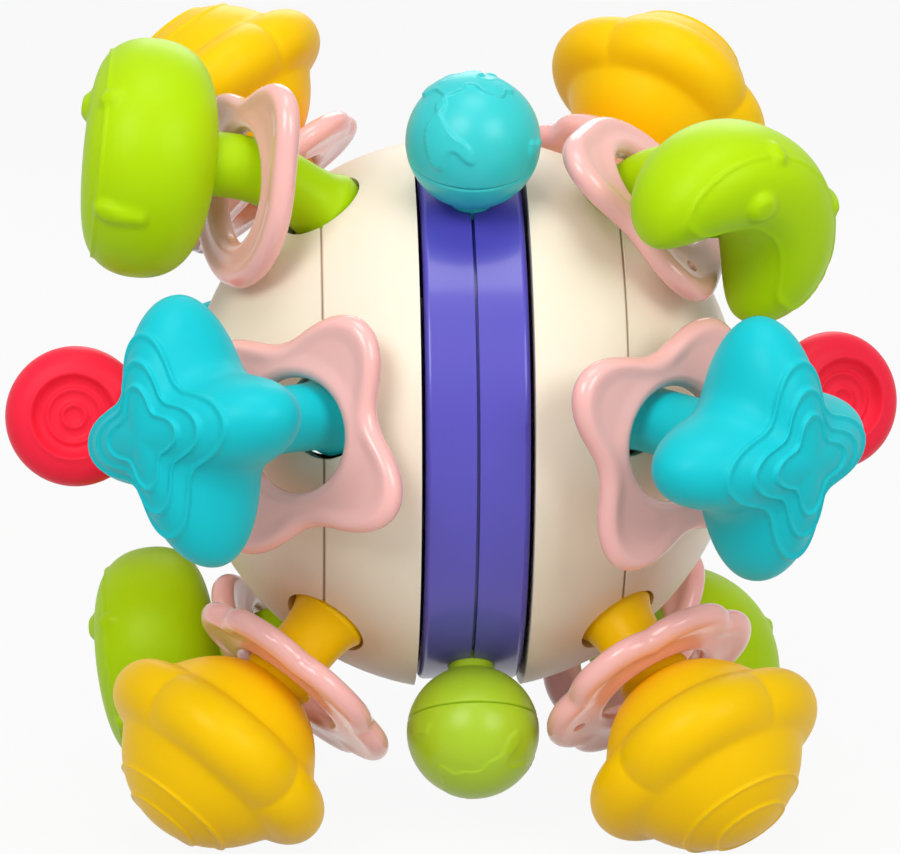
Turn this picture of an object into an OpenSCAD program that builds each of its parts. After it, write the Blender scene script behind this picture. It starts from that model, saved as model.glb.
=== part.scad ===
// Sensory ball for a baby: four shells, a turning track of beads and soft teethers on bendy stems.
// Sizes in millimetres. +Z is up, the front faces -Y, the origin is on the floor under the ball's centre.

/* [Ball] */
// outer radius of the ball
ball_r = 43; // [40:0.5:46]
// wall of the shells
shell_wall = 2.2; // [1.8:0.1:2.6]
// angle of the stem holes, and of the seam that runs through them, from the middle plane
hole_tilt = 31.396; // [30.196:0.1:32.296]
// radius of the fine groove along the seam
seam_groove = 0.3; // [0.2:0.05:0.4]
// half of the groove that the track turns in
groove_half = 8.3; // [8.2:0.1:8.6]
// height of the ball's centre over the floor
centre_height = 60.6; // [60:0.1:64]
// pitch of the ball as it stands, front up
stand_pitch = 9; // [6:0.5:12]

/* [Track] */
// outer radius of the track
track_r = 41.2; // [40:0.1:41.4]
// thickness of the track's rim
rim_wall = 2.6; // [2:0.1:3]
// gap between the track and each band
track_side_gap = 0.65; // [0.5:0.05:0.8]
// visible gap between the two halves of the track
parting_gap = 0.5; // [0.3:0.05:0.7]
// radius of the hub that carries the track
hub_r = 15; // [13:0.5:17]
// running clearance of the track on the hub
hub_clearance = 0.06; // [0.04:0.01:0.1]
// angle of the first bead above the front
bead_angle = 51; // [46:0.5:56]

/* [Beads] */
// radius of a bead
bead_r = 10; // [9:0.1:10.4]
// wall of a bead
bead_wall = 1.8; // [1.4:0.1:2.2]
// seam of a bead below its centre
bead_seam = 1.8; // [1:0.1:2.4]
// radius of the neck that a bead turns on
bead_neck_r = 3.5; // [3:0.1:4]
// running clearance of a neck in the rim
neck_clearance = 0.08; // [0.05:0.01:0.1]

/* [Stems] */
// radius of a stem
stem_r = 4.85; // [4.4:0.05:5]
// radius of a stem hole in the ball
hole_r = 6.6; // [6.4:0.05:6.8]
// clearance of the round root in its hole
root_gap = 0.3; // [0.3:0.05:0.4]
// radius of the flange behind the hole
flange_r = 8; // [7.4:0.1:8]
// length of the straight root from the pivot
root_run = 6; // [5.5:0.1:6.5]
// length of the stem that bends
stem_run = 11; // [10:0.5:12]

/* [Heads] */
// reach of a star's arm
star_tip = 19.5; // [18:0.5:20]
// reach of a star between two arms
star_waist = 11.6; // [10.5:0.1:12.5]
// height of the star's face over its middle
star_face = 11; // [9:0.5:12]
// radius of a planet
planet_r = 14.2; // [13:0.1:14.6]
// radius of the middle of the planet's ring
orbit_r = 14; // [13.4:0.1:14.2]
// thickness radius of the planet's ring
orbit_tube = 4.8; // [4:0.1:5]
// shift of each of the ring's four lobes from the planet's axis
lobe_out = 5.5; // [4:0.25:6]
// radius of the moon's middle line
moon_bow = 12.2; // [11.6:0.1:12.6]
// half width of the moon at its middle
moon_half = 8.2; // [7.6:0.1:8.4]
// half thickness of the moon at its middle
moon_thick = 9.9; // [9:0.1:10.2]
// radius of a ripple disc
disc_r = 10.9; // [10:0.1:11.5]
// thickness of a ripple disc
disc_thick = 8; // [7:0.1:9]

/* [Loose rings] */
// radius of the hole in a loose ring
loose_hole_r = 8; // [7.6:0.1:8.4]
// thickness of a loose ring
loose_thick = 4.4; // [4:0.1:4.8]
// reach of the four-lobed ring
lobe_tip = 20; // [18:0.5:21]
// reach of the petal ring
petal_tip = 17.6; // [16.5:0.1:18.5]
// reach of the horned ring
horn_tip = 19; // [18:0.5:20]
// radius of the vent hole in a loose ring
vent_r = 1; // [0.8:0.1:1.2]

/* [Hidden] */
$fn = 64;

// distance from the middle plane to the seam between band and cap
seam_x = ball_r * sin(hole_tilt);
pivot_r = ball_r - shell_wall / 2;
inner_r = ball_r - shell_wall;
root_r = hole_r - root_gap;
flange_depth = 7;
flange_thick = 1.8;
flange_bevel = 2.2;
// the flare starts this far inside the round root and ends this far short of the root's run
flare_inset = 0.35;
flare_short = 1.4;
// everything that swings with a root stays inside this radius around its pivot
root_reach = norm([flange_r, flange_depth]) + 0.4;
web_wall = 2;
track_half = groove_half - track_side_gap;
bead_gap = 0.3;
bead_pitch = 120;
bead_orbit = track_r + bead_r + bead_gap;
screw_ring = 9.5;
screw_r = 1.5;
screw_head_r = 2.9;
land_depth = 2.2;
seam_r = sqrt(ball_r * ball_r - seam_x * seam_x);
land_r = sqrt(inner_r * inner_r - seam_x * seam_x);
spigot_gap = 0.05;
spigot_wall = 1.6;
// a bent stem runs into a slightly wider collar at each end, by this angle
bow_lap = 3;
stem_collar = 0.12;
// a straight stem runs this far into its head
stem_into = 5.3;

left = -1;
right = 1;
// each stem as it stands: lean at the root, direction of the lean, bend of the stem, spin of the head
left_front_star_pose = [16, -162, 0, 80];
left_top_moon_pose = [22, -176, 28, 117];
left_top_planet_pose = [19, -114, 0, 4.3];
left_back_star_pose = [10, 180, 0, 0];
left_low_moon_pose = [22, 177, 30, -58];
left_front_planet_pose = [13, -130.8, 0, 27.5];
right_front_star_pose = [16, -50, 0, 60];
right_top_moon_pose = [22, -61, 48, 163];
right_top_planet_pose = [4, -175, 0, 7];
right_back_star_pose = [10, 0, 0, 0];
right_low_moon_pose = [22, -66, 19.7, 40];
right_front_planet_pose = [4, -175, 0, 8];
left_disc_pose = [2, 90, 0, 0];
right_disc_pose = [22, 103, 0, 0];
// height of each head's middle over the end of its stem
star_rise = 9;
planet_rise = 9;
moon_rise = 11.5;
disc_rise = 1.5;

violet = [0.36, 0.31, 0.72];
cream = [0.97, 0.94, 0.86];
steel = [0.7, 0.7, 0.72];
teal = [0.07, 0.7, 0.76];
lime = [0.66, 0.84, 0.05];
yellow = [1, 0.76, 0.02];
red = [0.96, 0.1, 0.22];
pink = [0.95, 0.7, 0.7];

// ball frame: centre of the ball at its height, pitched as it stands
module ball_frame() {
    translate([0, 0, centre_height])
        rotate([-stand_pitch, 0, 0])
            children();
}

// axis of a stem hole: side is left or right, around is the angle from the front upwards
module hole_axis(side, around) {
    rotate([90 - around, 0, 0])
        rotate([0, side * hole_tilt, 0])
            children();
}

// local frame of a pole of the ball
module pole_axis(side) {
    rotate([0, side * 90, 0])
        children();
}

// pivot of a stem, leaning as its pose says
module leaning(pose) {
    translate([0, 0, pivot_r])
        rotate([0, 0, pose[1]])
            rotate([0, pose[0], 0])
                children();
}

// place on a stem that bends towards +X, at a length along its bending part
module along_stem(bend, along) {
    if (bend == 0)
        translate([0, 0, root_run + along])
            children();
    else {
        bow = stem_run * 180 / (PI * bend);
        part = bend * along / stem_run;
        translate([bow * (1 - cos(part)), 0, root_run + bow * sin(part)])
            rotate([0, part, 0])
                children();
    }
}

// root with its flange, flared into the stem, and the stem itself with a bow in it
module stem(bend, run) {
    sphere(r = root_r);
    cylinder(r1 = root_r - flare_inset, r2 = stem_r, h = root_run - flare_short);
    translate([0, 0, -flange_depth - flange_thick])
        cylinder(r = stem_r, h = flange_depth + flange_thick);
    translate([0, 0, -flange_depth - flange_thick])
        cylinder(r1 = flange_r - flange_bevel, r2 = flange_r, h = flange_thick);
    if (bend == 0)
        cylinder(r = stem_r, h = root_run + run + stem_into);
    else {
        bow = run * 180 / (PI * bend);
        cylinder(r = stem_r + stem_collar, h = root_run);
        translate([bow, 0, root_run])
            rotate([90, 0, 180])
                rotate([0, 0, -bow_lap])
                    rotate_extrude(angle = bend + 2 * bow_lap)
                        translate([bow, 0])
                            circle(r = stem_r);
    }
}

module teether(side, around, pose, tint) {
    color(tint)
        ball_frame()
            hole_axis(side, around)
                leaning(pose) {
                    stem(pose[2], stem_run);
                    along_stem(pose[2], stem_run)
                        rotate([0, 0, pose[3]])
                            children();
                }
}

// surface through rows of points that run around, closed at both ends by a single point
module closed_rows(rows, first, last) {
    count = len(rows);
    sides = len(rows[0]);
    points = concat([first], [for (row = rows) each row], [last]);
    end = count * sides + 1;
    faces = concat(
        [for (k = [0 : sides - 1]) [0, 1 + (k + 1) % sides, 1 + k]],
        [for (row = [0 : count - 2], k = [0 : sides - 1])
            [1 + row * sides + k, 1 + row * sides + (k + 1) % sides, 1 + (row + 1) * sides + k]],
        [for (row = [0 : count - 2], k = [0 : sides - 1])
            [1 + row * sides + (k + 1) % sides, 1 + (row + 1) * sides + (k + 1) % sides,
                1 + (row + 1) * sides + k]],
        [for (k = [0 : sides - 1]) [end, end - sides + k, end - sides + (k + 1) % sides]]);
    polyhedron(points = points, faces = faces);
}

// four-armed star, domed on both sides: the arms' reach falls to the waist between them
star_sides = 32;
star_levels = 9;
star_back = 9;
function star_reach(turn) = star_waist + (star_tip - star_waist) * pow((1 + cos(4 * turn)) / 2, 1.25);
function star_point(turn, level) =
    let (reach = star_reach(turn) * cos(level), rise = level > 0 ? star_face : star_back)
    [reach * cos(turn), reach * sin(turn), rise * sin(level)];
module star_head() {
    translate([0, 0, star_rise])
        closed_rows(
            [for (k = [1 : star_levels])
                let (level = -90 + 180 * k / (star_levels + 1))
                [for (s = [0 : star_sides - 1]) star_point(-360 * s / star_sides, level)]],
            [0, 0, -star_back], [0, 0, star_face]);
}

// crescent: oval sections along a bow, fullest in the middle and rounded at the horns
moon_stations = 17;
moon_sides = 14;
moon_span = 112;
moon_shift = 8.5;
moon_neck = 9.5;
big_crater = 2.6;
middle_crater = 2;
small_crater = 1.8;
crater_rise = 0.7;
function moon_full(share) = (1 - 0.4 * share * share) * pow(1 - pow(abs(share), 6), 0.5);
function moon_point(share, turn) =
    let (reach = moon_bow + moon_half * moon_full(share) * cos(turn), at = moon_span * share)
    [reach * cos(at) - moon_shift, reach * sin(at), moon_thick * moon_full(share) * sin(turn)];
module moon_head() {
    cylinder(r = stem_r + stem_collar, h = moon_neck);
    translate([0, 0, moon_rise]) {
        closed_rows(
            [for (k = [1 : moon_stations])
                let (share = sin(-90 + 180 * k / (moon_stations + 1)))
                [for (s = [0 : moon_sides - 1]) moon_point(share, 360 * s / moon_sides)]],
            [moon_bow * cos(moon_span) - moon_shift, -moon_bow * sin(moon_span), 0],
            [moon_bow * cos(moon_span) - moon_shift, moon_bow * sin(moon_span), 0]);
        crater(0.05, big_crater);
        crater(-0.42, middle_crater);
        crater(0.5, small_crater);
    }
}
// raised crater on the moon's face
module crater(share, size) {
    at = moon_span * share;
    face = moon_thick * moon_full(share);
    translate([moon_bow * cos(at) - moon_shift, moon_bow * sin(at), face - size + crater_rise])
        sphere(r = size, $fn = 32);
}

// planet with a fat ring in four soft lobes around it and two thin raised rings at its outer pole
arc_angles = [24, 42];
arc_r = 0.6;
module planet_head() {
    translate([0, 0, planet_rise]) {
        sphere(r = planet_r);
        for (turn = [0 : 90 : 270])
            rotate([0, 0, turn])
                translate([lobe_out, 0, 0])
                    rotate_extrude()
                        translate([orbit_r - lobe_out, 0])
                            circle(r = orbit_tube);
        for (turn = arc_angles)
            translate([0, 0, planet_r * cos(turn)])
                rotate_extrude()
                    translate([planet_r * sin(turn), 0])
                        circle(r = arc_r, $fn = 24);
    }
}

// round disc on edge: full rim, dished faces and three raised ripples on each face
disc_dish = 1.4;
ripple_shares = [0.16, 0.36, 0.54];
ripple_r = 0.8;
ripple_sunk = 0.2;
module disc_head() {
    translate([0, 0, disc_r + disc_rise])
        rotate([90, 0, 0])
            rotate_extrude()
                disc_profile();
}
module disc_profile() {
    translate([disc_r - disc_thick / 2, 0])
        intersection() {
            circle(r = disc_thick / 2);
            translate([-disc_thick / 4, -disc_thick])
                square([disc_thick, disc_thick * 2]);
        }
    translate([0, -disc_thick / 2 + disc_dish])
        square([disc_r - disc_thick / 2, disc_thick - 2 * disc_dish]);
    for (share = ripple_shares, face = [-1, 1])
        translate([disc_r * share, face * (disc_thick / 2 - disc_dish - ripple_sunk)])
            circle(r = ripple_r, $fn = 24);
}

// loose rings: a rounded band between the round hole and an outline that goes in and out
loose_steps = 44;
petal_steps = 48;
loose_dish = 0.5;
loose_lip = 0.9;
loose_edge = 1.5;
lobe_waist = 13.6;
petal_dip = 1.9;
horn_waist = 15.2;
horn_dip = 1.9;
// the two horns stand at this angle on either side of a shallow dip, with these widths in degrees
horn_at = 48;
horn_wide = 24;
dip_wide = 22;
function lobe_reach(turn) = lobe_waist + (lobe_tip - lobe_waist) * pow((1 + cos(4 * turn)) / 2, 1.1);
function petal_reach(turn) = petal_tip - petal_dip * pow(1 - abs(cos(3 * turn)), 1.6);
function bump(turn, at, wide) = exp(-pow((turn - at) / wide, 2));
function horn_reach(turn) =
    let (t = turn > 180 ? turn - 360 : turn)
    horn_waist + (horn_tip - horn_waist) * (bump(t, horn_at, horn_wide) + bump(t, -horn_at, horn_wide))
        - horn_dip * bump(t, 0, dip_wide);
function loose_section(out) =
    let (half = loose_thick / 2, middle = (loose_hole_r + out) / 2)
    [[loose_hole_r, 0], [loose_hole_r + loose_lip, half * 0.85], [middle, half - loose_dish],
        [out - loose_edge, half * 0.95], [out, 0], [out - loose_edge, -half * 0.95],
        [middle, -half + loose_dish], [loose_hole_r + loose_lip, -half * 0.85]];
module loose_ring(reaches, vent_at) {
    steps = len(reaches);
    sections = [for (reach = reaches) loose_section(reach)];
    sides = len(sections[0]);
    points = [for (k = [0 : steps - 1], p = sections[k])
        [p[0] * cos(360 * k / steps), p[0] * sin(360 * k / steps), p[1]]];
    faces = concat(
        [for (k = [0 : steps - 1], s = [0 : sides - 1])
            [k * sides + s, (k + 1) % steps * sides + s, k * sides + (s + 1) % sides]],
        [for (k = [0 : steps - 1], s = [0 : sides - 1])
            [k * sides + (s + 1) % sides, (k + 1) % steps * sides + s,
                (k + 1) % steps * sides + (s + 1) % sides]]);
    difference() {
        polyhedron(points = points, faces = faces);
        rotate([0, 0, vent_at[1]])
            translate([vent_at[0], 0, -loose_thick])
                cylinder(r = vent_r, h = 2 * loose_thick, $fn = 24);
    }
}
module lobe_ring() {
    loose_ring([for (k = [0 : loose_steps - 1]) lobe_reach(360 * k / loose_steps)], [lobe_tip - 5, 0]);
}
module petal_ring() {
    loose_ring([for (k = [0 : petal_steps - 1]) petal_reach(360 * k / petal_steps)], [petal_tip - 4.5, 0]);
}
module horn_ring() {
    loose_ring([for (k = [0 : loose_steps - 1]) horn_reach(360 * k / loose_steps)], [horn_tip - 5, horn_at]);
}

// loose ring on a stem: length along it, drop [towards the lean, across it], tilt [about x, about y], spin
module on_stem(side, around, pose, along, drop, tilt, spin) {
    color(pink)
        ball_frame()
            hole_axis(side, around)
                leaning(pose)
                    along_stem(pose[2], along)
                        translate([drop[0], drop[1], 0])
                            rotate([tilt[0], tilt[1], 0])
                                rotate([0, 0, spin])
                                    children();
}

// half of the ball between two planes across its axis, as a shell of revolution along +X
module shell_zone(from_x, to_x) {
    rotate([0, 90, 0])
        rotate_extrude($fn = 96)
            intersection() {
                difference() {
                    circle(r = ball_r, $fn = 128);
                    circle(r = inner_r, $fn = 128);
                }
                difference() {
                    translate([0, from_x])
                        square([ball_r + 1, to_x - from_x]);
                    translate([seam_r, seam_x])
                        circle(r = seam_groove, $fn = 24);
                }
            }
}

// ring of revolution along +X: from one radius to another, between two planes
module collar(from_r, to_r, from_x, to_x) {
    rotate([0, 90, 0])
        rotate_extrude($fn = 96)
            translate([from_r, from_x])
                square([to_r - from_r, to_x - from_x]);
}

module stem_holes(side) {
    for (around = [0 : 60 : 300])
        hole_axis(side, around)
            translate([0, 0, inner_r - 4])
                cylinder(r = hole_r, h = shell_wall + 8);
}

module root_pockets(side) {
    for (around = [0 : 60 : 300])
        hole_axis(side, around)
            translate([0, 0, pivot_r])
                sphere(r = root_reach);
}

module screw_places() {
    for (turn = [90, 210, 330])
        rotate([turn, 0, 0])
            translate([0, 0, screw_ring])
                rotate([0, 90, 0])
                    children();
}

// band on the right of the groove: outer wall, web, half of the hub and the land that the cap sits on
module band_body() {
    difference() {
        union() {
            shell_zone(groove_half, seam_x);
            difference() {
                collar(0, sqrt(inner_r * inner_r - groove_half * groove_half) + 0.6, groove_half,
                    groove_half + web_wall);
                root_pockets(right);
            }
            collar(4.5, hub_r, 0, groove_half + web_wall);
            difference() {
                collar(land_r, land_r + 1.6, seam_x - land_depth, seam_x);
                root_pockets(right);
            }
        }
        stem_holes(right);
        rotate([0, 90, 0])
            translate([0, 0, -1])
                cylinder(r = 4.5, h = groove_half + web_wall + 2);
    }
}

// cap on the right: outer wall, pole hole and the spigot that enters the band
module cap_body() {
    difference() {
        union() {
            shell_zone(seam_x, ball_r);
            difference() {
                collar(land_r - spigot_gap - spigot_wall, land_r - spigot_gap, seam_x - land_depth + 0.4,
                    seam_x + 2.6);
                root_pockets(right);
            }
        }
        stem_holes(right);
        rotate([0, 90, 0])
            cylinder(r = hole_r, h = ball_r + 5);
    }
}

module left_band() {
    color(cream)
        ball_frame()
            difference() {
                rotate([0, 0, 180])
                    band_body();
                screw_places()
                    translate([0, 0, -groove_half + 0.3])
                        cylinder(r = screw_r, h = groove_half + 1);
            }
}
module right_band() {
    color(cream)
        ball_frame()
            difference() {
                band_body();
                screw_places()
                    translate([0, 0, -1])
                        cylinder(r = screw_r, h = groove_half + web_wall + 2);
            }
}
module left_cap() {
    color(cream)
        ball_frame()
            rotate([0, 0, 180])
                cap_body();
}
module right_cap() {
    color(cream)
        ball_frame()
            cap_body();
}
module hub_screws() {
    color(steel)
        ball_frame()
            screw_places() {
                translate([0, 0, -groove_half + 0.6])
                    cylinder(r = screw_r, h = 2 * groove_half + web_wall - 0.6);
                difference() {
                    translate([0, 0, groove_half + web_wall])
                        cylinder(r = screw_head_r, h = 2);
                    translate([0, 0, groove_half + web_wall + 1])
                        cube([0.8, 3.6, 2.4], center = true);
                    translate([0, 0, groove_half + web_wall + 1])
                        cube([3.6, 0.8, 2.4], center = true);
                }
            }
}

// half of the track on the right: rounded rim, web and the collar that turns on the hub
module track_body() {
    edge = 0.9;
    difference() {
        rotate([0, 90, 0])
            rotate_extrude($fn = 96) {
                translate([track_r - rim_wall, parting_gap / 2])
                    square([rim_wall - edge, track_half - parting_gap / 2]);
                translate([track_r - edge, parting_gap / 2])
                    square([edge, track_half - parting_gap / 2 - edge]);
                translate([track_r - edge, track_half - edge])
                    circle(r = edge, $fn = 32);
                translate([hub_r + hub_clearance, 0])
                    square([3, track_half]);
                translate([hub_r + hub_clearance, 0])
                    square([track_r - rim_wall / 2 - hub_r - hub_clearance, parting_gap / 2 + 1.6]);
            }
        for (k = [0 : 2])
            rotate([90 - bead_angle - bead_pitch * k, 0, 0]) {
                cylinder(r = bead_neck_r + neck_clearance, h = track_r + 5);
                translate([0, 0, track_r - rim_wall - 9])
                    cylinder(r = bead_neck_r + 2.6, h = 9.01);
            }
        for (k = [0 : 5])
            rotate([90 - bead_angle - 60 * k - 30, 0, 0])
                translate([0, 0, (hub_r + track_r) / 2])
                    rotate([0, 90, 0])
                        cylinder(r = 5, h = 8, center = true);
    }
}
module track_left() {
    color(violet)
        ball_frame()
            mirror([1, 0, 0])
                track_body();
}
module track_right() {
    color(violet)
        ball_frame()
            track_body();
}

// frame of a bead: its centre, with +Z away from the track
module bead_frame(turn) {
    ball_frame()
        rotate([90 - bead_angle + turn, 0, 0])
            translate([0, 0, bead_orbit])
                children();
}
module bead_dome(turn, tint) {
    color(tint)
        bead_frame(turn)
            rotate_extrude()
                intersection() {
                    difference() {
                        circle(r = bead_r);
                        circle(r = bead_r - bead_wall);
                    }
                    translate([0, -bead_seam])
                        square([bead_r + 1, 2 * bead_r]);
                }
}
module bead_base(turn, tint) {
    lip_r = sqrt(pow(bead_r - bead_wall, 2) - bead_seam * bead_seam) - 0.05;
    neck_run = bead_orbit - track_r + rim_wall + 0.3;
    color(tint)
        bead_frame(turn) {
            rotate_extrude() {
                intersection() {
                    difference() {
                        circle(r = bead_r);
                        circle(r = bead_r - bead_wall);
                    }
                    translate([0, -bead_r - 1])
                        square([bead_r + 1, bead_r + 1 - bead_seam]);
                }
                translate([lip_r - 1.2, -bead_seam - 1.6])
                    square([1.2, 2.8]);
            }
            translate([0, 0, -neck_run - 1.6])
                cylinder(r = bead_neck_r, h = neck_run + 1.6 - bead_r + bead_wall / 2);
            translate([0, 0, -neck_run - 1.6])
                cylinder(r = bead_neck_r + 2, h = 1.6);
        }
}
module top_bead_dome() { bead_dome(0, teal); }
module top_bead_base() { bead_base(0, teal); }
module bottom_bead_dome() { bead_dome(bead_pitch, lime); }
module bottom_bead_base() { bead_base(bead_pitch, lime); }
module back_bead_dome() { bead_dome(2 * bead_pitch, yellow); }
module back_bead_base() { bead_base(2 * bead_pitch, yellow); }

module left_front_star() { teether(left, 0, left_front_star_pose, teal) star_head(); }
module left_top_moon() { teether(left, 60, left_top_moon_pose, lime) moon_head(); }
module left_top_planet() { teether(left, 120, left_top_planet_pose, yellow) planet_head(); }
module left_back_star() { teether(left, 180, left_back_star_pose, teal) star_head(); }
module left_low_moon() { teether(left, -120, left_low_moon_pose, lime) moon_head(); }
module left_front_planet() { teether(left, -60, left_front_planet_pose, yellow) planet_head(); }
module right_front_star() { teether(right, 0, right_front_star_pose, teal) star_head(); }
module right_top_moon() { teether(right, 60, right_top_moon_pose, lime) moon_head(); }
module right_top_planet() { teether(right, 120, right_top_planet_pose, yellow) planet_head(); }
module right_back_star() { teether(right, 180, right_back_star_pose, teal) star_head(); }
module right_low_moon() { teether(right, -120, right_low_moon_pose, lime) moon_head(); }
module right_front_planet() { teether(right, -60, right_front_planet_pose, yellow) planet_head(); }

module pole_disc(side, pose) {
    color(red)
        ball_frame()
            pole_axis(side)
                leaning(pose) {
                    stem(0, 0);
                    translate([0, 0, root_run])
                        rotate([0, 0, -pose[1]])
                            disc_head();
                }
}
module left_disc() { pole_disc(left, left_disc_pose); }
module right_disc() { pole_disc(right, right_disc_pose); }

module left_front_star_ring() {
    on_stem(left, 0, left_front_star_pose, 0, [1.03, 2.33], [0, -14], 37) lobe_ring();
}
module left_top_moon_ring() {
    on_stem(left, 60, left_top_moon_pose, 7.2, [2.45, 1.2], [-17, 3], -149) horn_ring();
}
module left_top_planet_ring() {
    on_stem(left, 120, left_top_planet_pose, 4, [-0.74, -2.7], [0, 0], 0) petal_ring();
}
module left_back_star_ring() {
    on_stem(left, 180, left_back_star_pose, 0.5, [-0.29, -2.78], [0, -8], 45) lobe_ring();
}
module left_low_moon_ring() {
    on_stem(left, -120, left_low_moon_pose, 6, [-2.43, -1.35], [-7, -3], 35) horn_ring();
}
module left_front_planet_ring() {
    on_stem(left, -60, left_front_planet_pose, 4.3, [0.06, 2.35], [0, 0], 0) petal_ring();
}
module right_front_star_ring() {
    on_stem(right, 0, right_front_star_pose, 3.5, [2.12, -1.72], [0, -10], 23) lobe_ring();
}
module right_top_moon_ring() {
    on_stem(right, 60, right_top_moon_pose, 1.4, [2.51, 0.45], [-6, -16], -48) horn_ring();
}
module right_top_planet_ring() {
    on_stem(right, 120, right_top_planet_pose, 2, [-1.6, -2.3], [0, -4], 0) petal_ring();
}
module right_back_star_ring() {
    on_stem(right, 180, right_back_star_pose, 0.5, [-0.29, 2.78], [0, -8], 45) lobe_ring();
}
module right_low_moon_ring() {
    on_stem(right, -120, right_low_moon_pose, 3, [-2.54, -0.91], [0, -8], 90) horn_ring();
}
module right_front_planet_ring() {
    on_stem(right, -60, right_front_planet_pose, 4.6, [0.3, 2.2], [0, 0], 0) petal_ring();
}

left_band();
left_cap();
right_band();
right_cap();
hub_screws();
track_left();
track_right();
top_bead_dome();
top_bead_base();
bottom_bead_dome();
bottom_bead_base();
back_bead_dome();
back_bead_base();
left_front_star();
left_top_moon();
left_top_planet();
left_back_star();
left_low_moon();
left_front_planet();
right_front_star();
right_top_moon();
right_top_planet();
right_back_star();
right_low_moon();
right_front_planet();
left_disc();
right_disc();
left_front_star_ring();
left_top_moon_ring();
left_top_planet_ring();
left_back_star_ring();
left_low_moon_ring();
left_front_planet_ring();
right_front_star_ring();
right_top_moon_ring();
right_top_planet_ring();
right_back_star_ring();
right_low_moon_ring();
right_front_planet_ring();
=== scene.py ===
import bpy
import numpy as np
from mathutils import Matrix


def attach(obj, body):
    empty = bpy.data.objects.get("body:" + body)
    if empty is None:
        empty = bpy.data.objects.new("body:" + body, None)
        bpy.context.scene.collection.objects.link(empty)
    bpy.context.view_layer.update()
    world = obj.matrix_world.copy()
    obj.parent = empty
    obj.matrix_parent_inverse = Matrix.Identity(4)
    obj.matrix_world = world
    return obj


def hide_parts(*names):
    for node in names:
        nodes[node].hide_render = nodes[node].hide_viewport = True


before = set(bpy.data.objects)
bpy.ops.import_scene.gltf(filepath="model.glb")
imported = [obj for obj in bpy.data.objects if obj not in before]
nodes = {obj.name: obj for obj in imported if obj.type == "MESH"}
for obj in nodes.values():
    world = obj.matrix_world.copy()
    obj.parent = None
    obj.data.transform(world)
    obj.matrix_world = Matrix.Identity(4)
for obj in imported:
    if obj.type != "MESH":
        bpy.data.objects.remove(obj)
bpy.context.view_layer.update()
print("frame loaded with", len(nodes), "nodes")

# the ball and how it stands, in millimetres and degrees
ball = dict(radius=43.0, wall=2.2, seam=22.4, height=60.6, pitch=-9.0)
holeTilt = np.degrees(np.arcsin(ball["seam"] / ball["radius"]))
pivotOut = ball["radius"] - ball["wall"] / 2


def turnX(a):
    c, s = np.cos(np.radians(a)), np.sin(np.radians(a))
    return np.array([[1, 0, 0], [0, c, -s], [0, s, c]])


def turnY(a):
    c, s = np.cos(np.radians(a)), np.sin(np.radians(a))
    return np.array([[c, 0, s], [0, 1, 0], [-s, 0, c]])


def turnZ(a):
    c, s = np.cos(np.radians(a)), np.sin(np.radians(a))
    return np.array([[c, -s, 0], [s, c, 0], [0, 0, 1]])


def ballToFloor(points):
    return points @ turnX(ball["pitch"]).T + np.array([0, 0, ball["height"]])


# every soft piece: side of the ball, angle around it, lean at the hole, which way it leans, bend of the stem,
# spin of the head
teethers = {
    "left_front_star": dict(kind="star", side=-1, around=0, lean=16, toward=-162, bend=0, spin=80),
    "left_top_moon": dict(kind="moon", side=-1, around=60, lean=22, toward=-176, bend=28, spin=117),
    "left_top_planet": dict(kind="planet", side=-1, around=120, lean=19, toward=-114, bend=0, spin=4.3),
    "left_back_star": dict(kind="star", side=-1, around=180, lean=10, toward=180, bend=0, spin=0),
    "left_low_moon": dict(kind="moon", side=-1, around=-120, lean=22, toward=177, bend=30, spin=-58),
    "left_front_planet": dict(kind="planet", side=-1, around=-60, lean=13, toward=-130.8, bend=0, spin=27.5),
    "right_front_star": dict(kind="star", side=1, around=0, lean=16, toward=-50, bend=0, spin=60),
    "right_top_moon": dict(kind="moon", side=1, around=60, lean=22, toward=-61, bend=48, spin=163),
    "right_top_planet": dict(kind="planet", side=1, around=120, lean=4, toward=-175, bend=0, spin=7),
    "right_back_star": dict(kind="star", side=1, around=180, lean=10, toward=0, bend=0, spin=0),
    "right_low_moon": dict(kind="moon", side=1, around=-120, lean=22, toward=-66, bend=19.7, spin=40),
    "right_front_planet": dict(kind="planet", side=1, around=-60, lean=4, toward=-175, bend=0, spin=8),
    "left_disc": dict(kind="disc", side=-1, around=None, lean=2, toward=90, bend=0, spin=-90),
    "right_disc": dict(kind="disc", side=1, around=None, lean=22, toward=103, bend=0, spin=-103),
}
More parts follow.
